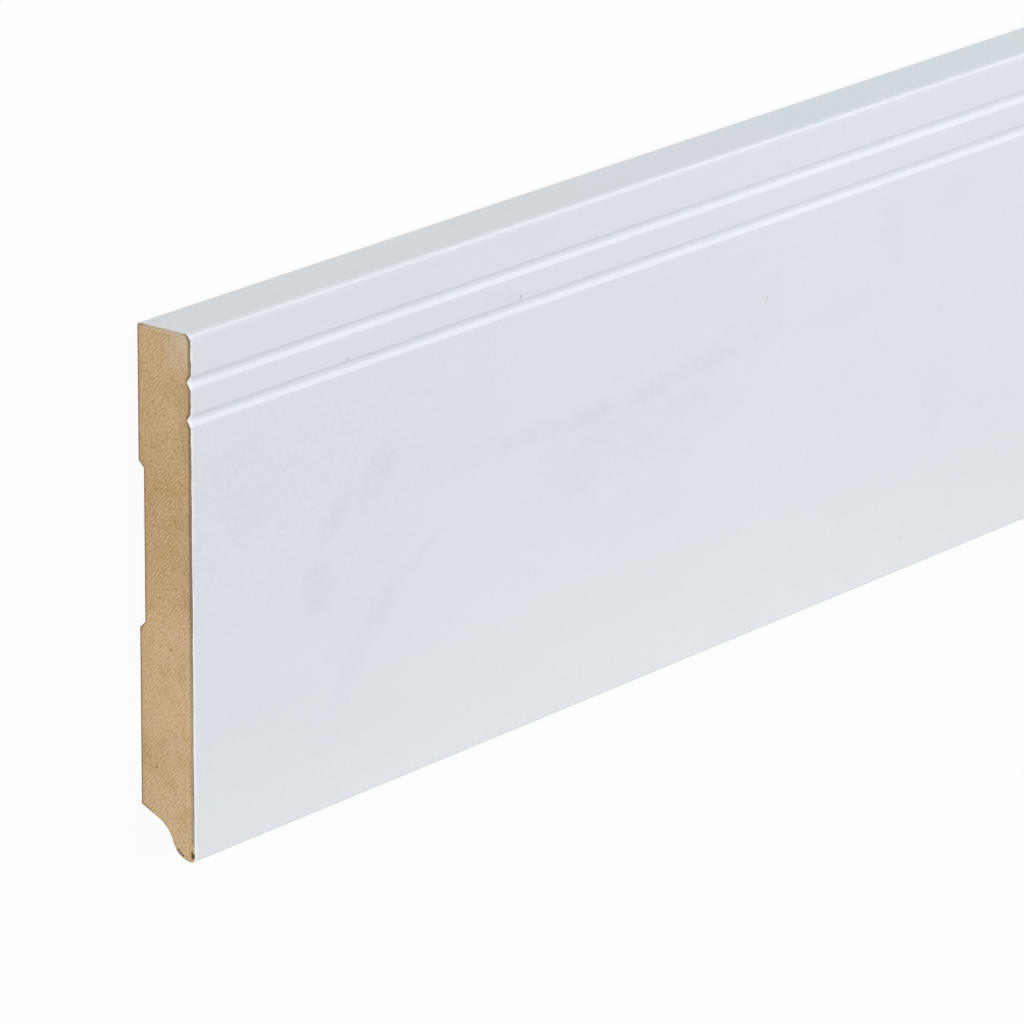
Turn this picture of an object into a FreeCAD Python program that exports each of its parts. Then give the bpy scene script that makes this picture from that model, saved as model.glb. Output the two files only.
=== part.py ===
"""Skirting board length: one moulded length of fibreboard lying on its back, in millimetres.

X runs along the length, Y up the board as it is fixed to a wall, and Z from the back to the face.
The origin is at the middle of the board's footprint, on the surface that its back rests on.
"""
import FreeCAD, Part
import math
import os

import Sketcher

NODE = "skirting_board"

# The top edge of the board is at +Y and the foot at -Y. Lengths are in millimetres, angles in degrees.
SIZES = {
    "board_length": 2400.0,
    "board_height": 120.0,
    "board_thickness": 15.0,
    "top_radius": 2.0,          # round on the front edge of the top
    "groove_drop": 10.9,        # from the top edge down to the bottom of the first groove
    "groove_pitch": 8.5,
    "groove_count": 2,
    "groove_width": 3.2,
    "groove_depth": 1.0,
    "recess_drop": 31.0,        # from the top edge down to the relief channel in the back
    "recess_width": 38.0,
    "recess_floor_width": 35.0,
    "recess_depth": 1.5,
    "toe_radius": 1.0,          # round where the face turns in under the nose
    "nose_radius": 5.2,
    "nose_sweep": 71.5,         # how far the nose turns from its lowest point to the cove
    "cove_radius": 7.7,
    "heel_slope": 24.5,         # slope of the undercut from the heel to the cove
}

START = 1
END = 2
CENTRE = 3
ORIGIN = (-1, 1)
Y_AXIS = -1


def make_sheet(doc):
    """Put every size in one spreadsheet, each with its name as the cell's alias."""
    sheet = doc.addObject("Spreadsheet::Sheet", "sizes")
    for row, (name, value) in enumerate(SIZES.items(), start=1):
        sheet.set(f"A{row}", name)
        sheet.set(f"B{row}", str(value))
        sheet.setAlias(f"B{row}", name)
    doc.recompute()


def section_sketch(body, name):
    """Start a sketch across the board: its first axis is the board's Y and its second the board's Z."""
    sketch = body.newObject("Sketcher::SketchObject", name)
    plane = next(item for item in body.Origin.OriginFeatures if item.Role == "YZ_Plane")
    sketch.AttachmentSupport = [(plane, "")]
    sketch.MapMode = "FlatFace"
    return sketch


def segment(start, end):
    """A straight line between two points of a sketch."""
    return Part.LineSegment(FreeCAD.Vector(*start), FreeCAD.Vector(*end))


def arc(centre, radius, first_angle, last_angle):
    """An arc drawn anticlockwise between two angles in degrees."""
    circle = Part.Circle(FreeCAD.Vector(*centre), FreeCAD.Vector(0, 0, 1), radius)
    return Part.ArcOfCircle(circle, math.radians(first_angle), math.radians(last_angle))


def at(centre, radius, angle):
    """The point at an angle in degrees and a distance from a centre."""
    turn = math.radians(angle)
    return centre[0] + radius * math.cos(turn), centre[1] + radius * math.sin(turn)


def constrain(sketch, kind, *places):
    """Add a geometric constraint."""
    sketch.addConstraint(Sketcher.Constraint(kind, *places))


def dimension(sketch, name, kind, places, formula):
    """Add a dimension with the value that its formula has, and bind it to the sheet."""
    value = sketch.evalExpression(formula)
    if kind == "Angle":
        value = math.radians(value)
    index = sketch.addConstraint(Sketcher.Constraint(kind, *places, value))
    sketch.renameConstraint(index, name)
    sketch.setExpression(f"Constraints.{name}", formula)


def draw_moulded_section(body):
    """The outline of face, top and foot. The stock is thicker than the board until its back is planed."""
    half = SIZES["board_height"] / 2
    thick = SIZES["board_thickness"]
    top = SIZES["top_radius"]
    toe = SIZES["toe_radius"]
    nose = SIZES["nose_radius"]
    sweep = SIZES["nose_sweep"]
    cove = SIZES["cove_radius"]
    slope = SIZES["heel_slope"]
    nose_centre = (nose - half, thick - toe)
    cove_centre = at(nose_centre, nose + cove, 180 + sweep)
    slope_end = at(cove_centre, cove, slope)
    slope_start = at(slope_end, thick, slope - 90)

    sketch = section_sketch(body, "moulded_section")
    rough_back = sketch.addGeometry(segment((half, slope_start[1]), slope_start))
    heel_slope = sketch.addGeometry(segment(slope_start, slope_end))
    cove_arc = sketch.addGeometry(arc(cove_centre, cove, slope, sweep))
    nose_arc = sketch.addGeometry(arc(nose_centre, nose, 180, 180 + sweep))
    toe_arc = sketch.addGeometry(arc((toe - half, thick - toe), toe, 90, 180))
    face = sketch.addGeometry(segment((toe - half, thick), (half - top, thick)))
    top_arc = sketch.addGeometry(arc((half - top, thick - top), top, 0, 90))
    top_edge = sketch.addGeometry(segment((half, thick - top), (half, slope_start[1])))

    constrain(sketch, "Coincident", rough_back, END, heel_slope, START)
    constrain(sketch, "Tangent", heel_slope, END, cove_arc, START)
    constrain(sketch, "Tangent", cove_arc, END, nose_arc, END)
    constrain(sketch, "Tangent", nose_arc, START, toe_arc, END)
    constrain(sketch, "Tangent", toe_arc, START, face, START)
    constrain(sketch, "Tangent", face, END, top_arc, END)
    constrain(sketch, "Tangent", top_arc, START, top_edge, START)
    constrain(sketch, "Coincident", top_edge, END, rough_back, START)
    constrain(sketch, "Horizontal", rough_back)
    constrain(sketch, "Horizontal", face)
    constrain(sketch, "Vertical", top_edge)
    constrain(sketch, "Horizontal", nose_arc, CENTRE, nose_arc, START)

    dimension(sketch, "rise", "DistanceX", (*ORIGIN, top_edge, START), "sizes.board_height / 2")
    dimension(sketch, "height", "DistanceX", (nose_arc, START, top_edge, START), "sizes.board_height")
    dimension(sketch, "thickness", "DistanceY", (*ORIGIN, face, START), "sizes.board_thickness")
    dimension(sketch, "top", "Radius", (top_arc,), "sizes.top_radius")
    dimension(sketch, "toe", "Radius", (toe_arc,), "sizes.toe_radius")
    dimension(sketch, "nose", "Radius", (nose_arc,), "sizes.nose_radius")
    dimension(sketch, "nose_turn", "Angle", (nose_arc,), "sizes.nose_sweep")
    dimension(sketch, "cove", "Radius", (cove_arc,), "sizes.cove_radius")
    dimension(sketch, "cove_turn", "Angle", (cove_arc,), "sizes.nose_sweep - sizes.heel_slope")
    dimension(sketch, "run_out", "Distance", (heel_slope,), "sizes.board_thickness")
    return sketch


def draw_planing(body):
    """The waste behind the board's back."""
    half = SIZES["board_height"] / 2
    thick = SIZES["board_thickness"]
    sketch = section_sketch(body, "planing_section")
    back = sketch.addGeometry(segment((half, 0), (-half, 0)))
    foot = sketch.addGeometry(segment((-half, 0), (-half, -thick)))
    waste = sketch.addGeometry(segment((-half, -thick), (half, -thick)))
    top = sketch.addGeometry(segment((half, -thick), (half, 0)))

    for line, following in ((back, foot), (foot, waste), (waste, top), (top, back)):
        constrain(sketch, "Coincident", line, END, following, START)
    constrain(sketch, "Horizontal", back)
    constrain(sketch, "Vertical", foot)
    constrain(sketch, "Horizontal", waste)
    constrain(sketch, "Vertical", top)
    constrain(sketch, "PointOnObject", back, START, Y_AXIS)

    dimension(sketch, "rise", "DistanceX", (*ORIGIN, back, START), "sizes.board_height / 2")
    dimension(sketch, "height", "DistanceX", (back, END, back, START), "sizes.board_height")
    dimension(sketch, "depth", "DistanceY", (waste, END, back, START), "sizes.board_thickness")
    return sketch


def draw_recess(body):
    """The relief channel in the back: shallow and flat-floored, with sloping sides."""
    edge = SIZES["board_height"] / 2 - SIZES["recess_drop"]
    width = SIZES["recess_width"]
    depth = SIZES["recess_depth"]
    inset = (width - SIZES["recess_floor_width"]) / 2
    sketch = section_sketch(body, "recess_section")
    mouth = sketch.addGeometry(segment((edge, 0), (edge - width, 0)))
    lower = sketch.addGeometry(segment((edge - width, 0), (edge - width + inset, depth)))
    floor = sketch.addGeometry(segment((edge - width + inset, depth), (edge - inset, depth)))
    upper = sketch.addGeometry(segment((edge - inset, depth), (edge, 0)))

    for line, following in ((mouth, lower), (lower, floor), (floor, upper), (upper, mouth)):
        constrain(sketch, "Coincident", line, END, following, START)
    constrain(sketch, "Horizontal", mouth)
    constrain(sketch, "Horizontal", floor)
    constrain(sketch, "Equal", lower, upper)
    constrain(sketch, "PointOnObject", mouth, START, Y_AXIS)

    dimension(sketch, "edge", "DistanceX", (*ORIGIN, mouth, START),
              "sizes.board_height / 2 - sizes.recess_drop")
    dimension(sketch, "width", "DistanceX", (mouth, END, mouth, START), "sizes.recess_width")
    dimension(sketch, "floor_width", "DistanceX", (floor, START, floor, END), "sizes.recess_floor_width")
    dimension(sketch, "depth", "DistanceY", (mouth, END, floor, START), "sizes.recess_depth")
    return sketch


def draw_groove(body):
    """The first of the V-grooves that run along the face just under the top edge."""
    notch = SIZES["board_height"] / 2 - SIZES["groove_drop"]
    thick = SIZES["board_thickness"]
    depth = SIZES["groove_depth"]
    half_width = SIZES["groove_width"] / 2
    sketch = section_sketch(body, "groove_section")
    mouth = sketch.addGeometry(segment((notch - half_width, thick), (notch + half_width, thick)))
    upper = sketch.addGeometry(segment((notch + half_width, thick), (notch, thick - depth)))
    lower = sketch.addGeometry(segment((notch, thick - depth), (notch - half_width, thick)))

    for line, following in ((mouth, upper), (upper, lower), (lower, mouth)):
        constrain(sketch, "Coincident", line, END, following, START)
    constrain(sketch, "Horizontal", mouth)
    constrain(sketch, "Equal", upper, lower)

    dimension(sketch, "notch", "DistanceX", (*ORIGIN, upper, END),
              "sizes.board_height / 2 - sizes.groove_drop")
    dimension(sketch, "width", "DistanceX", (mouth, START, mouth, END), "sizes.groove_width")
    dimension(sketch, "face", "DistanceY", (*ORIGIN, mouth, START), "sizes.board_thickness")
    dimension(sketch, "depth", "DistanceY", (upper, END, mouth, START), "sizes.groove_depth")
    return sketch


def cut_along(doc, body, sketch, name):
    """Run a cutter the whole length of the board, and make sure that it removed something."""
    before = body.Shape.Volume
    pocket = body.newObject("PartDesign::Pocket", name)
    pocket.Profile = sketch
    pocket.Type = "ThroughAll"
    pocket.Midplane = True
    doc.recompute()
    if pocket.Shape.Volume >= before:
        raise RuntimeError(f"{name} removed nothing")
    return pocket


def build_board(doc):
    """Mould the stock, plane its back, then cut the relief channel and the grooves."""
    body = doc.addObject("PartDesign::Body", NODE)
    body.Label = NODE

    stock = body.newObject("PartDesign::Pad", "moulded_stock")
    stock.Profile = draw_moulded_section(body)
    stock.Midplane = True
    stock.setExpression("Length", "sizes.board_length")
    doc.recompute()

    cut_along(doc, body, draw_planing(body), "planed_back")
    cut_along(doc, body, draw_recess(body), "back_recess")
    groove = cut_along(doc, body, draw_groove(body), "face_groove")

    grooves = body.newObject("PartDesign::LinearPattern", "face_grooves")
    grooves.Originals = [groove]
    grooves.Direction = (groove.Profile[0], ["H_Axis"])
    grooves.Reversed = True
    grooves.setExpression("Length", "sizes.groove_pitch * (sizes.groove_count - 1)")
    grooves.setExpression("Occurrences", "sizes.groove_count")
    body.Tip = grooves
    doc.recompute()
    return body


def check_document(doc):
    """Stop if any object failed, or if the board isn't one sound solid."""
    failed = [item.Name for item in doc.Objects if {"Invalid", "Error"} & set(item.State)]
    if failed:
        raise RuntimeError(f"failed objects: {failed}")
    for body in doc.findObjects("PartDesign::Body"):
        if body.Shape.isNull() or not body.Shape.isValid() or len(body.Shape.Solids) != 1:
            raise RuntimeError(f"{body.Label} is not one valid solid")


def write_parts(doc):
    """Write each piece to a file of its own name."""
    os.makedirs("parts", exist_ok=True)
    for body in doc.findObjects("PartDesign::Body"):
        body.Shape.exportStep(f"parts/{body.Label}.step")


document = FreeCAD.newDocument("skirting")
make_sheet(document)
build_board(document)
check_document(document)
write_parts(document)
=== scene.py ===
import math

import bmesh
import bpy
from mathutils import Matrix, Vector, kdtree, noise
from mathutils.geometry import delaunay_2d_cdt


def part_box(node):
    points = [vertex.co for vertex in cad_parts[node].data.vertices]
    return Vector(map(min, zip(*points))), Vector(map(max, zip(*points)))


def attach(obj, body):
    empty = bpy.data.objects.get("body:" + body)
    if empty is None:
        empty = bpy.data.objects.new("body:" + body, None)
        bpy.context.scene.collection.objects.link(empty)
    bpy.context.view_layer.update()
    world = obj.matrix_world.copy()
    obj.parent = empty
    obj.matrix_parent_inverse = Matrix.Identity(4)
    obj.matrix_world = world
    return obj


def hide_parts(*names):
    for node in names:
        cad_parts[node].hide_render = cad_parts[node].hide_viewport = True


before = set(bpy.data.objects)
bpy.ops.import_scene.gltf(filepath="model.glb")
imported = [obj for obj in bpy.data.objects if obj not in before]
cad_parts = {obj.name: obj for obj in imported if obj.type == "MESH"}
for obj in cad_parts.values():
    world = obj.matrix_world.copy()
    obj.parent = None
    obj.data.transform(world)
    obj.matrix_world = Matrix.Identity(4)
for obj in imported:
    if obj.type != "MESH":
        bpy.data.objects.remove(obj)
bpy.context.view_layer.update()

# The fibreboard. Medium density fibreboard, run past shaped cutters that leave one outline all along: a
# round on the top edge, two V-grooves, a nose and an undercut at the foot, and a channel in the back. It
# is bare at the back and under the foot. An outline's points are (Y, Z): up the board, and off its back.
low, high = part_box("skirting_board")
half_length = (high.x - low.x) / 2
end_slice = 0.002
top_round = 0.002
groove_drops = (0.0109, 0.0194)
groove_width = 0.0030
groove_depth = 0.0012
shoulder_round = 0.0007
root_round = 0.0008
toe_round = 0.0006
nose_round = 0.0052
nose_inset = 0.001
nose_centre = Vector((low.y + nose_round, high.z - nose_inset))
nose_sweep = 71.5
cove_round = 0.0077
heel_slope = 24.5
channel_drop = 0.031
channel_width = 0.038
channel_depth = 0.0015
channel_inset = 0.0015
arris = 0.0002
back_arris = 0.00049
coat_depth = 0.00025
coat_trim = 0.0007
coat_wrap = 58.0
cutter_step = 0.00015
board_stations = 9
end_zone = 0.00001
sharp_angle = 35


def bend(centre, radius, first, last):
    """Points along an arc of the section, between two angles in degrees turning from +Y to +Z."""
    count = math.ceil(radius * math.radians(abs(last - first)) / cutter_step) + 1
    angles = [math.radians(first + (last - first) * i / (count - 1)) for i in range(count)]
    return [centre + Vector((math.cos(a), math.sin(a))) * radius for a in angles]


def run(*corners):
    """Straight runs between corners (y, z, radius), each corner taken off by an arc of its own radius."""
    points = [Vector(corner[:2]) for corner in corners]
    line = [points[0]]
    for before, corner, after, (_, _, radius) in zip(points, points[1:], points[2:], corners[1:]):
        to_before = (before - corner).normalized()
        to_after = (after - corner).normalized()
        half_angle = to_before.angle(to_after) / 2
        centre = corner + (to_before + to_after).normalized() * radius / math.sin(half_angle)
        first = corner + to_before * radius / math.tan(half_angle) - centre
        last = corner + to_after * radius / math.tan(half_angle) - centre
        start = math.degrees(math.atan2(first.y, first.x))
        turn = math.degrees(math.atan2(first.x * last.y - first.y * last.x, first.dot(last)))
        line += bend(centre, radius, start, start + turn)
    return line + [points[-1]]


def sunk(line, depth):
    """A line of the coated side moved into the board by a depth."""
    moved = []
    for i, point in enumerate(line):
        along = (line[min(i + 1, len(line) - 1)] - line[max(i - 1, 0)]).normalized()
        moved.append(point + Vector((-along.y, along.x)) * depth)
    return moved


def show_side(wrap):
    """The outline from the back of the top edge over the face and round the nose by an angle."""
    corners = [(high.y, low.z + coat_trim, 0), (high.y, high.z, top_round)]
    for drop in groove_drops:
        root = high.y - drop
        corners += [
            (root + groove_width / 2, high.z, shoulder_round),
            (root, high.z - groove_depth, root_round),
            (root - groove_width / 2, high.z, shoulder_round),
        ]
    face = run(*corners, (low.y + toe_round, high.z, 0))
    toe = bend(Vector((low.y + toe_round, high.z - toe_round)), toe_round, 90, 180)
    nose = bend(nose_centre, nose_round, 180, 180 + wrap)
    return face[:-1] + toe + nose


def hidden_side(wrap):
    """The outline from where the coat ends on the nose, under the foot and up the back."""
    cove_turn = math.radians(180 + nose_sweep)
    to_cove = Vector((math.cos(cove_turn), math.sin(cove_turn)))
    cove_centre = nose_centre + to_cove * (nose_round + cove_round)
    nose = bend(nose_centre, nose_round, 180 + wrap, 180 + nose_sweep)
    cove = bend(cove_centre, cove_round, nose_sweep, heel_slope)
    heel_y = cove[-1].x + (cove[-1].y - low.z) * math.tan(math.radians(heel_slope))
    channel_top = high.y - channel_drop
    channel_foot = channel_top - channel_width
    back = run(
        (cove[-1].x, cove[-1].y, 0),
        (heel_y, low.z, arris),
        (channel_foot, low.z, arris),
        (channel_foot + channel_inset, low.z + channel_depth, arris),
        (channel_top - channel_inset, low.z + channel_depth, arris),
        (channel_top, low.z, arris),
        (high.y - coat_depth, low.z, back_arris),
        (high.y - coat_depth, low.z + coat_trim, 0),
    )
    return nose[:-1] + cove[:-1] + back


class Wire:
    """A socket of a node tree. Maths on it adds Math nodes, so that a pattern reads as an expression."""

    def __init__(self, tree, socket=None):
        self.tree = tree
        self.socket = socket

    def node(self, kind, settings=None, values=None, output=0):
        """Add a node: its settings first, then the values or links of its sockets."""
        made = self.tree.nodes.new(kind)
        for name, value in (settings or {}).items():
            setattr(made, name, value)
        for name, value in (values or {}).items():
            if isinstance(value, Wire):
                self.tree.links.new(value.socket, made.inputs[name])
            else:
                made.inputs[name].default_value = value
        return Wire(self.tree, made.outputs[output] if made.outputs else None)

    def maths(self, operation, *others):
        values = {i: other for i, other in enumerate((self, *others))}
        return self.node("ShaderNodeMath", {"operation": operation}, values)

    def __add__(self, other):
        return self.maths("ADD", other)

    __radd__ = __add__

    def __sub__(self, other):
        return self.maths("SUBTRACT", other)

    def __rsub__(self, other):
        return self.node("ShaderNodeMath", {"operation": "SUBTRACT"}, {0: other, 1: self})

    def __mul__(self, other):
        return self.maths("MULTIPLY", other)

    __rmul__ = __mul__

    def __truediv__(self, other):
        return self.maths("DIVIDE", other)

    def __rtruediv__(self, other):
        return self.node("ShaderNodeMath", {"operation": "DIVIDE"}, {0: other, 1: self})

    def __gt__(self, other):
        return self.maths("GREATER_THAN", other)

    def __abs__(self):
        return self.maths("ABSOLUTE")

    def parts(self):
        """The X, Y and Z of a vector."""
        split = self.node("ShaderNodeSeparateXYZ", values={0: self}).socket.node
        return [Wire(self.tree, socket) for socket in split.outputs]

    def rise(self, start, end):
        """0 before the start and 1 past the end, with a soft step between them."""
        values = {"Value": self, "From Min": start, "From Max": end}
        return self.node("ShaderNodeMapRange", {"interpolation_type": "SMOOTHSTEP"}, values)

    def cloud(self, scale, detail=2.0, stretch=(1.0, 1.0, 1.0)):
        """Noise between 0 and 1 at a place. Scale is in patches a metre."""
        place = self.node("ShaderNodeVectorMath", {"operation": "MULTIPLY"}, {0: self, 1: stretch})
        return self.node("ShaderNodeTexNoise", values={"Vector": place, "Scale": scale, "Detail": detail})

    def mix(self, first, second, share):
        """The first colour with a share of the second in it. A Mix node's colours are sockets 6 and 7."""
        values = {0: share, 6: first, 7: second}
        return self.node("ShaderNodeMix", {"data_type": "RGBA"}, values, output=2)

    def blend(self, other, share):
        """This colour with a share of another colour in it."""
        return self.mix(self, other, share)

    def bump(self, strength):
        """The slopes of a surface with this pattern as its height, in tenths of a millimetre."""
        values = {"Strength": strength, "Distance": 0.0001, "Height": self}
        return self.node("ShaderNodeBump", values=values)


def shade(red, green, blue):
    """A colour as a screen shows it, out of 255, as the scene's light values."""
    parts = [c / 255 for c in (red, green, blue)]
    return (*((c / 12.92 if c <= 0.04045 else ((c + 0.055) / 1.055) ** 2.4) for c in parts), 1.0)


def new_finish(name, draw):
    """A material whose draw function gives its surface."""
    made = bpy.data.materials.new(name)
    made.use_nodes = True
    made.node_tree.nodes.clear()
    start = Wire(made.node_tree)
    start.node("ShaderNodeOutputMaterial", values={"Surface": draw(start)})
    return made


def sweep_tree():
    """Geometry nodes that lay a closed section along the board and chip its edge at the two ends."""
    tree = bpy.data.node_groups.new("sweep_section", "GeometryNodeTree")
    tree.interface.new_socket("Geometry", in_out="OUTPUT", socket_type="NodeSocketGeometry")
    for name, kind in (("Section", "Geometry"), ("Half length", "Float"), ("Stations", "Int"),
                       ("Chip depth", "Float"), ("Chips a metre", "Float"), ("Seed", "Float"),
                       ("Long finish", "Material"), ("Cut finish", "Material")):
        tree.interface.new_socket(name, in_out="INPUT", socket_type="NodeSocket" + kind)
    start = Wire(tree)
    given = start.node("NodeGroupInput").socket.node
    asked = {socket.name: Wire(tree, socket) for socket in given.outputs if socket.name}

    # The stations stand closer together towards the two ends.
    stations = start.node("GeometryNodeMeshLine", {"mode": "END_POINTS"},
                          {"Count": asked["Stations"], "Start Location": (-1, 0, 0), "Offset": (1, 0, 0)})
    share = start.node("GeometryNodeInputPosition").parts()[0]
    crowded = (share * (math.pi / 2)).maths("SINE") * asked["Half length"]
    place = start.node("ShaderNodeCombineXYZ", values={"X": crowded})
    path = start.node("GeometryNodeSetPosition", values={"Geometry": stations, "Position": place})
    path = start.node("GeometryNodeMeshToCurve", values={"Mesh": path})
    path = start.node("GeometryNodeSetCurveNormal", {"mode": "Z_UP"}, {"Curve": path})
    profile = start.node("GeometryNodeMeshToCurve", values={"Mesh": asked["Section"]})
    bar = start.node("GeometryNodeCurveToMesh",
                     values={"Curve": path, "Profile Curve": profile, "Fill Caps": True})

    spot = start.node("GeometryNodeInputPosition")
    along = spot.parts()[0]
    at_end = abs(along) > asked["Half length"] - end_zone
    pattern = {"Vector": spot, "W": asked["Seed"], "Scale": asked["Chips a metre"], "Detail": 1.0}
    grain = start.node("ShaderNodeTexNoise", {"noise_dimensions": "4D"}, pattern)
    bite = grain.rise(0.45, 0.8) * asked["Chip depth"] * along.maths("SIGN") * -1
    offset = start.node("ShaderNodeCombineXYZ", values={"X": bite})
    bar = start.node("GeometryNodeSetPosition",
                     values={"Geometry": bar, "Selection": at_end, "Offset": offset})

    faces_end = abs(start.node("GeometryNodeInputNormal").parts()[0]) > 0.7
    bar = start.node("GeometryNodeRealizeInstances", values={"Geometry": bar})
    bar = start.node("GeometryNodeSetMaterial",
                     values={"Geometry": bar, "Material": asked["Long finish"]})
    bar = start.node("GeometryNodeSetMaterial",
                     values={"Geometry": bar, "Selection": faces_end, "Material": asked["Cut finish"]})
    start.node("NodeGroupOutput", values={"Geometry": bar})
    return tree


sweep = sweep_tree()


def swept(name, section, **settings):
    """Sweep a closed section along the board and keep the result as a plain mesh."""
    # The sweep turns a section half round, so the section is drawn half turned.
    points = [(-point.x, -point.y, 0) for point in section]
    edges = [(i, (i + 1) % len(points)) for i in range(len(points))]
    drawing = bpy.data.meshes.new(name + "_section")
    drawing.from_pydata(points, edges, [])
    holder = bpy.data.objects.new(name + "_section", drawing)
    bpy.context.scene.collection.objects.link(holder)
    modifier = holder.modifiers.new("sweep", "NODES")
    modifier.node_group = sweep
    for item in sweep.interface.items_tree:
        word = item.name.lower().replace(" ", "_")
        if word in settings:
            modifier[item.identifier] = settings[word]
    graph = bpy.context.evaluated_depsgraph_get()
    mesh = bpy.data.meshes.new_from_object(holder.evaluated_get(graph), depsgraph=graph)
    bpy.data.objects.remove(holder)
    return placed(name, mesh)


def placed(name, mesh):
    """Put a finished mesh in the scene, smooth but for its sharp edges, riding on the board's body."""
    mesh.shade_smooth()
    mesh.set_sharp_from_angle(angle=math.radians(sharp_angle))
    piece = bpy.data.objects.new(name, mesh)
    bpy.context.scene.collection.objects.link(piece)
    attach(piece, "root")
    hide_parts("skirting_board")
    return piece


board_tan = shade(196, 168, 128)
board_brown = shade(168, 136, 94)
board_pale = shade(214, 190, 152)


def moulded_fibreboard(start):
    """A close, even tan surface, polished by the cutters, with fine fibres lying along it."""
    place = start.node("ShaderNodeTexCoord", output="Object")
    fibres = place.cloud(900, 4.0, (0.12, 1, 1))
    flecks = place.cloud(2600, 2.0, (0.4, 1, 1))
    patches = place.cloud(28, 3.0, (0.3, 1, 1))
    colour = start.mix(board_tan, board_brown, patches.rise(0.3, 0.75) * 0.45)
    colour = colour.blend(board_brown, fibres.rise(0.5, 0.8) * 0.35)
    colour = colour.blend(board_pale, flecks.rise(0.6, 0.8) * 0.4)
    return start.node("ShaderNodeBsdfPrincipled", values={
        "Base Color": colour,
        "Roughness": flecks * 0.2 + 0.68,
        "Normal": (fibres + flecks * 0.5).bump(0.35),
        "Specular IOR Level": 0.25,
    })


fibreboard_finish = new_finish("moulded_fibreboard", moulded_fibreboard)
board_section = sunk(show_side(coat_wrap), coat_depth) + hidden_side(coat_wrap)
fibreboard = swept("fibreboard", board_section, half_length=half_length - end_slice,
                   stations=board_stations, chip_depth=0.0, chips_a_metre=1.0, seed=0.0,
                   long_finish=fibreboard_finish, cut_finish=fibreboard_finish)

# The sawn ends. Bare fibreboard, where a cross-cut blade went through. It leaves fine slanting marks across
# the fibres, a scorched spot at the nose, and a thin dark line beside the coat, partly glue and dust and
# partly painted shadow of the coat's edge. The marks carry painted shade and highlight, and the rim a
# painted shade.
mark_pitch = 0.00071
mark_across = Vector((-0.667, 0.745))
mark_along = Vector((0.745, 0.667))
mark_depth = 0.00006
across_step = 0.00016
along_step = 0.0003
outline_step = 0.0003
edge_step = 0.0002
worn_rim = 0.0003
worn_depth = 0.00003
same_point = 1e-7
sawn_tan = shade(196, 164, 120)
foot_tan = shade(213, 184, 144)
sawn_brown = shade(160, 122, 70)
sawn_pale = shade(240, 219, 184)
sawn_ochre = shade(184, 148, 90)
sawn_blush = shade(202, 168, 140)
rim_shade = shade(138, 108, 66)
glue_and_shade_grey = shade(104, 86, 70)
scorch = shade(70, 38, 16)
singe = shade(196, 134, 70)
primer_grey = shade(214, 206, 192)


def divided(line, step):
    """The same line with points no further apart than a step."""
    points = [line[0]]
    for start, end in zip(line, line[1:]):
        count = max(1, math.ceil((end - start).length / step))
        points += [start.lerp(end, i / count) for i in range(1, count + 1)]
    return points


def saw_mark(point, seed):
    """Height of the sawn surface at a point of the section, about 0 to 1: short, wavering ripples."""
    across = point.dot(mark_across) / mark_pitch
    along = point.dot(mark_along) / mark_pitch
    wander = noise.noise(Vector((across / 3, along / 5, seed))) * 0.5
    strength = 0.5 + noise.noise(Vector((across / 2.4, along / 3, seed + 7))) * 1.2
    strokes = noise.noise(Vector((across * 2.2, along * 0.8, seed + 13)))
    return 0.5 + math.sin((across + wander) * 2 * math.pi) * strength * 0.35 + strokes * 0.4


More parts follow.
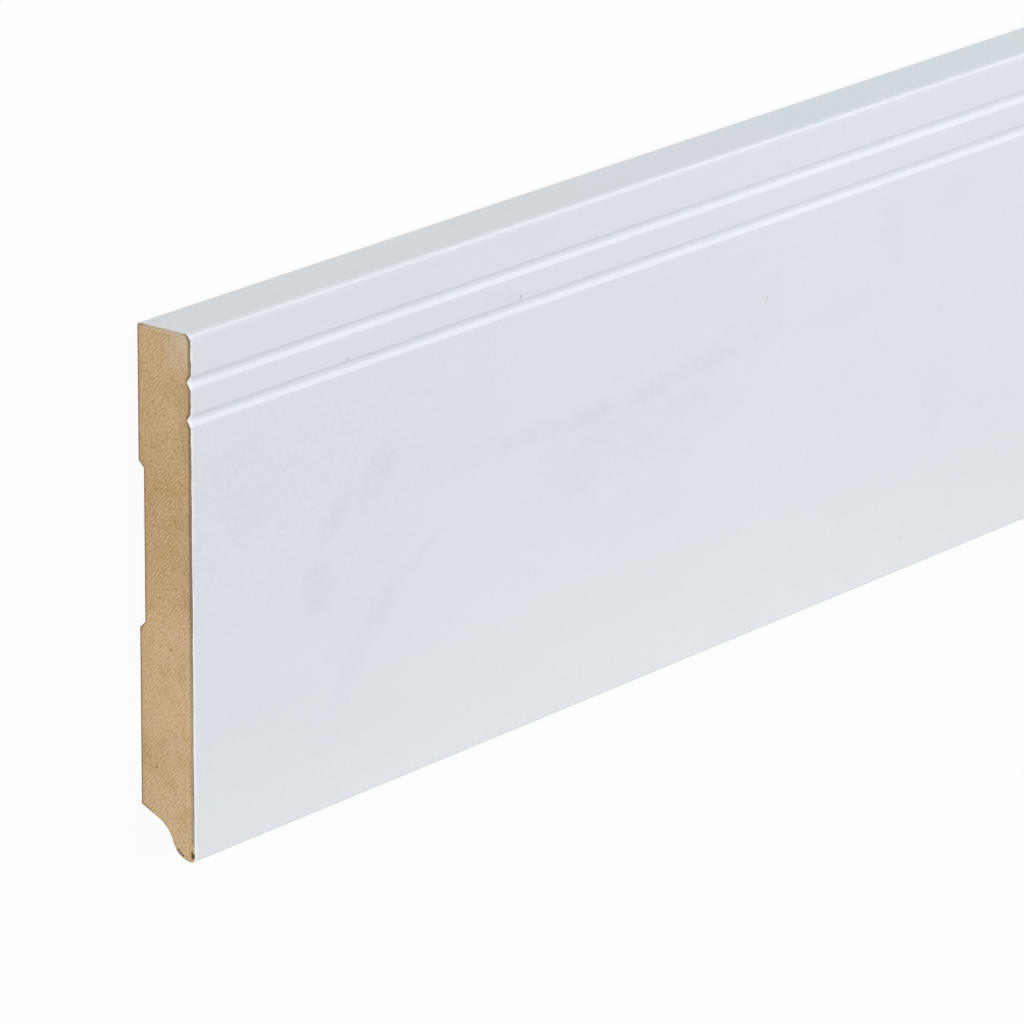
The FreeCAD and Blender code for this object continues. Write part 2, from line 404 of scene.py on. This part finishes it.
def sawn_fibreboard(stains):
    """The draw function of one end's finish. A stain is (y, z, reach up, reach out, colour, strength)."""
    def draw(start):
        place = start.node("ShaderNodeTexCoord", output="Object")
        _, y, z = place.parts()
        marks = start.node("ShaderNodeAttribute", {"attribute_name": "saw_mark"}, output="Fac")
        to_coat = start.node("ShaderNodeAttribute", {"attribute_name": "to_coat"}, output="Fac")
        to_rim = start.node("ShaderNodeAttribute", {"attribute_name": "to_rim"}, output="Fac")
        fibres = place.cloud(1300, 3.0)
        flecks = place.cloud(2600, 1.0)
        patches = place.cloud(95, 3.0)
        tints = place.cloud(190, 2.0)
        colour = start.mix(sawn_tan, foot_tan, y.rise(0.016, -0.016))
        colour = colour.blend(sawn_brown, patches.rise(0.45, 0.75) * 0.32)
        colour = colour.blend(sawn_ochre, tints.rise(0.48, 0.66) * 0.2)
        colour = colour.blend(sawn_blush, tints.rise(0.52, 0.34) * 0.2)
        colour = colour.blend(sawn_pale, y.rise(0.024, 0.038) * 0.16)
        # Painted shade and highlight: the saw marks' hollows are painted browner and their crests paler.
        colour = colour.blend(sawn_brown, marks.rise(0.5, 0.1) * 0.36)
        colour = colour.blend(sawn_pale, marks.rise(0.5, 0.9) * 0.34)
        colour = colour.blend(sawn_brown, fibres.rise(0.5, 0.7) * (y.rise(-0.016, 0.0) * 0.2 + 0.38))
        colour = colour.blend(sawn_pale, flecks.rise(0.56, 0.72) * 0.6)
        for stain_y, stain_z, up, out, tone, share in stains:
            reach = ((y - stain_y) / up).maths("POWER", 2.0) + ((z - stain_z) / out).maths("POWER", 2.0)
            ragged = reach + (fibres - 0.5) * 1.2
            colour = colour.blend(tone, ragged.rise(1.5, 0.0) * share)

        # The dark line beside the coat is partly glue and partly painted shadow of the coat's edge. It
        # follows the face, is fainter on the top edge's round and down at the foot, and ends above the
        # nose. The rim is brown as painted shade, and browner on the bare sides than beside the coat.
        corner = y.rise(high.y - 0.0060, high.y - 0.0040) * z.rise(high.z - 0.0035, high.z - 0.0015)
        glue_and_shade_reach = z.rise(high.z - 0.0016, high.z - 0.0009).maths("MAXIMUM", corner * 0.5)
        glue_and_shade_reach = glue_and_shade_reach * y.rise(low.y + 0.0038, low.y + 0.0045)
        glue_and_shade_reach = glue_and_shade_reach * (y.rise(-0.03, 0.0) * 0.45 + 0.22) * (patches * 0.8 + 0.6)
        glue_and_shade_line = (to_coat + (fibres - 0.5) * 0.0006).rise(0.0008, 0.0001) * glue_and_shade_reach
        colour = colour.blend(glue_and_shade_grey, glue_and_shade_line)
        # Painted shade: the sawn face darkens within a fraction of a millimetre of its edges.
        rim = (to_rim + (fibres - 0.5) * 0.0003).rise(0.0006, 0.0001)
        colour = colour.blend(rim_shade, rim * (z.rise(low.z + 0.0045, low.z + 0.0015) * 0.55 + 0.25))
        return start.node("ShaderNodeBsdfPrincipled", values={
            "Base Color": colour,
            "Roughness": fibres * 0.15 + 0.8,
            "Normal": (fibres + flecks * 0.6).bump(0.5),
            "Specular IOR Level": 0.15,
        })
    return draw


def distance_to(line):
    """A function that gives how far a point of the section is from the points of a line."""
    tree = kdtree.KDTree(len(line))
    for i, point in enumerate(line):
        tree.insert((*point, 0), i)
    tree.balance()
    return lambda point: tree.find((*point, 0))[2]


def inner_points(from_rim):
    """Points inside the section, in rows along the saw marks, clear of the rim."""
    reach = (high.y - low.y + high.z - low.z) / 2
    middle = Vector(((low.y + high.y) / 2, (low.z + high.z) / 2))
    kept = []
    for row in range(-int(reach / across_step), int(reach / across_step) + 1):
        for place in range(-int(reach / along_step), int(reach / along_step) + 1):
            shifted = (place + row % 2 / 2) * along_step
            point = middle + mark_across * (row * across_step) + mark_along * shifted
            within = low.y < point.x < high.y and low.z < point.y < high.z
            if within and from_rim(point) > across_step:
                kept.append(point)
    return kept


def sawn_end(name, side, stains):
    """One end of the fibreboard, as a slice whose outer face carries the saw marks."""
    # The section ends where it starts, so its last point is left out.
    outline = divided(board_section, outline_step)[:-1]
    outline_edges = [(i, (i + 1) % len(outline)) for i in range(len(outline))]
    from_rim = distance_to(outline)
    from_coat = distance_to(divided(sunk(show_side(coat_wrap), coat_depth), edge_step))
    spread = outline + inner_points(from_rim)
    points, _, faces, *_ = delaunay_2d_cdt(spread, outline_edges, [], 1, same_point)

    shape = bmesh.new()
    to_coat = shape.verts.layers.float.new("to_coat")
    to_rim = shape.verts.layers.float.new("to_rim")
    mark_layer = shape.verts.layers.float.new("saw_mark")
    outer = []
    for point in points:
        mark = saw_mark(point, side * 20)
        inset = from_rim(point)
        depth = mark_depth * (1 - mark) + (1 - min(1, inset / worn_rim)) * worn_depth
        vertex = shape.verts.new((side * (half_length - max(0, depth)), point.x, point.y))
        vertex[to_coat] = from_coat(point)
        vertex[to_rim] = inset
        vertex[mark_layer] = mark
        outer.append(vertex)
    for face in faces:
        shape.faces.new([outer[i] for i in face])

    # The first points are the outline's, in its order, and the slice's walls and back start from them.
    rim = outer[:len(outline)]
    back = [shape.verts.new((side * (half_length - end_slice), *vertex.co.yz)) for vertex in rim]
    for i in range(len(rim)):
        wall = shape.faces.new((rim[i - 1], rim[i], back[i], back[i - 1]))
        wall.material_index = 1
    shape.faces.new(back).material_index = 1
    bmesh.ops.recalc_face_normals(shape, faces=shape.faces)

    mesh = bpy.data.meshes.new(name)
    shape.to_mesh(mesh)
    shape.free()
    mesh.materials.append(new_finish(name, sawn_fibreboard(stains)))
    mesh.materials.append(fibreboard_finish)
    piece = placed(name, mesh)


near_stains = [
    (0.0465, 0.0105, 0.0035, 0.0050, sawn_brown, 0.18),
    (0.0385, 0.0138, 0.0120, 0.0018, sawn_brown, 0.16),
    (0.0560, 0.0120, 0.0050, 0.0046, primer_grey, 0.2),
    (0.0575, 0.0130, 0.0022, 0.0022, primer_grey, 0.2),
    (0.0595, 0.0080, 0.0006, 0.0090, primer_grey, 0.4),
    (-0.0583, 0.0146, 0.0012, 0.0008, singe, 0.8),
    (-0.0579, 0.0146, 0.0006, 0.0004, scorch, 0.8),
    (-0.0586, 0.0148, 0.0006, 0.0006, scorch, 1.0),
    (-0.0580, 0.0106, 0.00036, 0.00036, scorch, 0.9),
    (-0.0585, 0.01125, 0.00036, 0.00036, scorch, 0.8),
    (-0.0590, 0.0118, 0.00036, 0.00036, scorch, 0.9),
    (-0.0400, 0.0045, 0.0004, 0.0003, scorch, 0.6),
    (-0.0124, 0.0088, 0.0003, 0.0004, scorch, 0.5),
    (-0.0122, 0.0058, 0.0003, 0.0003, scorch, 0.4),
]
far_stains = [
    (0.0200, 0.0120, 0.0150, 0.0025, sawn_brown, 0.3),
    (-0.0582, 0.0136, 0.0012, 0.0012, singe, 0.8),
]
sawn_end("sawn_end_left", -1, near_stains)
sawn_end("sawn_end_right", 1, far_stains)

# The white coat. A thin satin foil, glued over the top edge, the face and the nose, and trimmed under the
# nose. It is faintly mottled and scuffed from handling, and chipped, pale and dirty where the saw cut it.
# A painted highlight runs along its edge beside the cuts, and painted light and shade lie over its face and
# top edge.
coat_white = shade(225, 231, 238)
coat_shadow = shade(210, 216, 223)
coat_foot_light = shade(235, 237, 243)
coat_lit = shade(233, 239, 246)
coat_top_shade = shade(213, 231, 239)
glint_white = shade(252, 250, 249)
dirt = shade(120, 116, 114)
rub_grey = shade(188, 189, 198)
rub_pink = shade(206, 187, 203)
cut_pale = shade(214, 208, 194)
cut_dark = shade(160, 146, 134)
trim_seam = 1.6
coat_step = 0.0003
coat_stations = 61
glint_width = 0.0008
burn_y = low.y + 0.0015

# Specks of dirt: (x, y, radius, strength).
specks = [
    (-1.0874, 0.0428, 0.00060, 0.46),
    (-1.1481, 0.0423, 0.00050, 0.34),
    (-0.9953, 0.0216, 0.00045, 0.34),
    (-0.9952, 0.0209, 0.00040, 0.26),
]

# Rubs from handling: (x, y, reach along, reach up, lean, strength), grey ones and faintly pink ones.
grey_rubs = [
    (-1.0020, 0.0140, 0.012, 0.0045, 0.10, 0.04),
    (-1.0480, 0.0020, 0.030, 0.0095, 0.10, 0.11),
    (-0.9720, 0.0120, 0.022, 0.0030, 0.00, 0.035),
    (-1.1580, -0.0075, 0.004, 0.0050, 0.00, 0.13),
    (-1.1360, -0.0180, 0.006, 0.0038, 0.60, 0.11),
    (-1.1206, -0.0079, 0.0055, 0.0006, 0.56, 0.10),
    (-1.1700, -0.0330, 0.016, 0.0080, -0.40, 0.02),
    (-0.9450, 0.0275, 0.005, 0.0090, 0.00, 0.045),
    (-0.9200, 0.0300, 0.008, 0.0080, 0.00, 0.045),
    (-0.9280, -0.0220, 0.004, 0.0080, 0.00, 0.04),
    (-1.0920, 0.0436, 0.010, 0.0012, -0.10, 0.11),
]
pink_rubs = [
    (-1.0930, 0.0095, 0.016, 0.0024, -0.02, 0.04),
    (-1.0680, 0.0088, 0.020, 0.0020, -0.01, 0.14),
    (-1.0200, 0.0108, 0.018, 0.0018, 0.04, 0.09),
    (-1.1372, 0.0144, 0.0055, 0.0040, 0.60, 0.14),
    (-1.1530, 0.0064, 0.0045, 0.0032, 0.60, 0.16),
    (-1.1470, -0.0300, 0.005, 0.0040, 0.80, 0.11),
    (-1.1560, -0.0430, 0.008, 0.0050, -0.40, 0.03),
]


def rubbed(colour, x, y, ragged, speckle):
    """A colour with a speckle where the board is handled and with the rubs, whose outlines are ragged."""
    handled = x.rise(-1.08, -1.15) * y.rise(-0.03, 0.01) * y.rise(0.045, 0.03)
    worn = speckle * handled * 0.07
    uneven = (ragged - 0.5) * 4
    grainy = speckle * 0.4 + 0.75
    for tone, spots in ((rub_grey, grey_rubs), (rub_pink, pink_rubs)):
        for rub_x, rub_y, reach_along, reach_up, lean, share in spots:
            along = (x - rub_x) * (1 / reach_along)
            up = (y - rub_y - (x - rub_x) * lean) * (1 / reach_up)
            worn = (along * along + up * up + uneven).rise(3.0, -1.0) * (grainy * share) + worn
        colour = colour.blend(tone, worn)
        worn = 0.0
    return colour


def specked(colour, x, y, z):
    """A colour with the specks of dirt on the face."""
    on_face = z.rise(high.z - 0.0004, high.z - 0.0002)
    for speck_x, speck_y, radius, share in specks:
        away = (x - speck_x) * (x - speck_x) + (y - speck_y) * (y - speck_y)
        colour = colour.blend(dirt, away.rise(radius ** 2, 0.0) * on_face * share)
    return colour


def glint_and_scorch(colour, x, y, z, grain, ragged):
    """A colour with a painted highlight along the foil's ragged edge beside the two saw cuts, and the
    scorch on the nose at the near one.
    """
    to_cut = half_length - abs(x)
    in_groove = z.rise(high.z - 0.0002, high.z - 0.0007) * y.rise(0.03, 0.035) * y.rise(0.054, 0.052)
    torn = (grain - 0.5) * 0.0006 + (ragged - 0.5) * 0.0012 - in_groove * 0.0006
    torn = torn - y.rise(0.0, -0.03) * 0.0003 - y.rise(low.y + 0.004, low.y + 0.002) * 0.0004
    # Painted highlight: a white line along the foil's edge beside each saw cut, fainter near the top
    # corner.
    glint = (to_cut + torn).rise(glint_width, glint_width / 3) * (y.rise(0.0565, 0.0585) * -0.4 + 0.9)
    burnt = abs(y - burn_y).rise(0.0009, 0.0004) * x.rise(0.0, -0.1)
    burnt = (to_cut + (grain - 0.5) * 0.0003).rise(0.00055, 0.0002) * burnt
    return colour.blend(glint_white, glint).blend(scorch, burnt * 0.9)


def white_foil(start):
    """The foil's satin face: faintly mottled, lighter away from its near end and at the foot as painted
    light, and with painted shade on the top edge's far part.
    """
    place = start.node("ShaderNodeTexCoord", output="Object")
    x, y, z = place.parts()
    mottle = place.cloud(55, 4.0, (0.5, 1, 1))
    drift = place.cloud(9, 2.0)
    grain = place.cloud(900, 3.0)
    ragged = place.cloud(240, 4.0, (0.6, 1, 1))
    speckle = place.cloud(1300, 3.0, (0.7, 1, 1)).rise(0.38, 0.66)
    scuffs = place.cloud(160, 3.0, (0.35, 1, 1)).rise(0.55, 0.75) * place.cloud(22, 2.0).rise(0.5, 0.7)
    orange_peel = place.cloud(700, 2.0)
    colour = start.mix(coat_white, coat_shadow, mottle.rise(0.35, 0.75) * 0.12)
    # Painted light: the face turns lighter and faintly pink towards the foot.
    colour = colour.blend(coat_foot_light, y.rise(-0.02, -0.058) * (drift * 0.4 + 0.3))
    # Painted light: the face turns lighter away from the near end, more up the board than at the foot.
    colour = colour.blend(coat_lit, x.rise(-1.14, -0.93) * (y.rise(-0.05, 0.04) * 0.32 + 0.18))
    # Painted shade: the far part of the top edge is painted a cooler, less red tone.
    colour = colour.blend(coat_top_shade, x.rise(-1.15, -0.95) * y.rise(0.0592, 0.0598) * 0.35)
    colour = colour.blend(coat_shadow, grain.rise(0.45, 0.7) * 0.1)
    colour = colour.blend(dirt, scuffs * 0.02)
    colour = rubbed(colour, x, y, ragged, speckle)
    colour = specked(colour, x, y, z)
    colour = glint_and_scorch(colour, x, y, z, grain, ragged)
    return start.node("ShaderNodeBsdfPrincipled", values={
        "Base Color": colour,
        "Roughness": mottle * 0.06 + 0.29,
        "Normal": orange_peel.bump(0.08),
        "Specular IOR Level": 0.5,
    })


def sawn_foil(start):
    """The foil's cut edge: pale, darker along the face with glue and painted shadow, and scorched at the
    nose.
    """
    place = start.node("ShaderNodeTexCoord", output="Object")
    _, y, z = place.parts()
    ragged = place.cloud(1800, 2.0)
    dark = z.rise(high.z - 0.002, high.z - 0.001) * y.rise(low.y + 0.0038, low.y + 0.0045)
    dark = dark * (y.rise(-0.03, 0.0) * 0.5 + 0.5)
    burnt = abs(y - burn_y).rise(0.0008, 0.0003) * z.rise(high.z - 0.0012, high.z - 0.0006)
    colour = start.mix(cut_pale, cut_dark, dark)
    colour = colour.blend(foot_tan, y.rise(low.y + 0.0032, low.y + 0.0026))
    colour = colour.blend(dirt, ragged.rise(0.5, 0.7) * 0.35)
    colour = colour.blend(scorch, burnt)
    return start.node("ShaderNodeBsdfPrincipled", values={
        "Base Color": colour,
        "Roughness": ragged * 0.2 + 0.6,
    })


coat_line = divided(show_side(coat_wrap - trim_seam), coat_step)
coat_section = coat_line + sunk(coat_line, coat_depth)[::-1]
white_coat = swept("white_coat", coat_section, half_length=half_length,
                   stations=coat_stations, chip_depth=0.00035, chips_a_metre=2200.0, seed=4.0,
                   long_finish=new_finish("white_foil", white_foil),
                   cut_finish=new_finish("sawn_foil", sawn_foil))

# The floor. A level, pale surface that the board lies on, much wider than the board.
# It shows as plain white where it is looked at or mirrored, and keeps a faint shadow.
floor_reach = 15.0
floor_corners = ((-1, -1), (1, -1), (1, 1), (-1, 1))
floor_pale = (0.8, 0.8, 0.8, 1.0)
plain_white = (1.0, 1.0, 1.0, 1.0)
floor_white_share = 0.95


def looked_at(start):
    """1 where a surface is seen, mirrored or seen through glass, and 0 where it only lights another."""
    path = start.node("ShaderNodeLightPath").socket.node.outputs
    seen = Wire(start.tree, path["Is Camera Ray"])
    mirrored = Wire(start.tree, path["Is Glossy Ray"])
    through = Wire(start.tree, path["Is Transmission Ray"])
    return seen.maths("MAXIMUM", mirrored).maths("MAXIMUM", through)


def white_floor(start):
    """Mostly plain white where it is looked at, and an ordinary pale floor for the light."""
    pale = start.node("ShaderNodeBsdfDiffuse", values={"Color": floor_pale})
    glow = start.node("ShaderNodeEmission", values={"Color": plain_white, "Strength": 1.0})
    share = looked_at(start) * floor_white_share
    return start.node("ShaderNodeMixShader", values={0: share, 1: pale, 2: glow})


floor_mesh = bpy.data.meshes.new("floor")
floor_points = [(x * floor_reach, y * floor_reach, low.z) for x, y in floor_corners]
floor_mesh.from_pydata(floor_points, [], [(0, 1, 2, 3)])
floor_mesh.materials.append(new_finish("white_floor", white_floor))
floor = bpy.data.objects.new("floor", floor_mesh)
bpy.context.scene.collection.objects.link(floor)

# The light. A plain white room with four soft square windows turned to the near end of the board: a large
# one overhead, one beyond the top edge, and small ones on the side of the foot and at the sawn end.
room_light = 0.34
lit_place = Vector((-1.05, 0.0, 0.015))

world = bpy.data.worlds.new("room")
bpy.context.scene.world = world
world.use_nodes = True
world.node_tree.nodes.clear()
room = Wire(world.node_tree)
room_strength = looked_at(room) * (1.0 - room_light) + room_light
room_air = room.node("ShaderNodeBackground", values={"Color": plain_white, "Strength": room_strength})
room.node("ShaderNodeOutputWorld", values={"Surface": room_air})


def window(name, offset, width, watts):
    """A square soft light at an offset from the lit part of the board, facing it."""
    light = bpy.data.lights.new(name, "AREA")
    light.shape = "SQUARE"
    light.size = width
    light.energy = watts
    lamp = bpy.data.objects.new(name, light)
    lamp.matrix_world = (-offset).to_track_quat("-Z", "Y").to_matrix().to_4x4()
    lamp.location = lit_place + offset
    lamp.visible_camera = False
    bpy.context.scene.collection.objects.link(lamp)


window("overhead", Vector((0.0, 0.15, 1.8)), width=1.0, watts=15.3)
window("foot side", Vector((0.6, -0.42, 0.42)), width=0.35, watts=0.34)
window("top side", Vector((1.45, 1.2, 0.75)), width=0.9, watts=7.5)
window("near end", Vector((-1.4, 0.42, 0.16)), width=0.2, watts=6.3)

# The camera. A long lens that looks down on the near end and along the face, rolled so that the board's
# top edge is upwards in the picture.
camera_place = Vector((-2.39500, 0.53912, 1.05944))
camera_aim = Vector((-1.09013, -0.00727, 0.01498))
camera_up = Vector((0.23885, 0.95046, -0.19892))
ahead = (camera_aim - camera_place).normalized()
right = ahead.cross(camera_up).normalized()
camera_data = bpy.data.cameras.new("camera")
camera_data.sensor_width = 36.0
camera_data.lens = 273.94
camera_data.clip_start = 0.05
camera_data.clip_end = 50.0
camera = bpy.data.objects.new("camera", camera_data)
camera.matrix_world = Matrix((right, right.cross(ahead), -ahead)).transposed().to_4x4()
camera.location = camera_place
bpy.context.scene.collection.objects.link(camera)
bpy.context.scene.camera = camera

bpy.context.scene.view_settings.view_transform = "Standard"
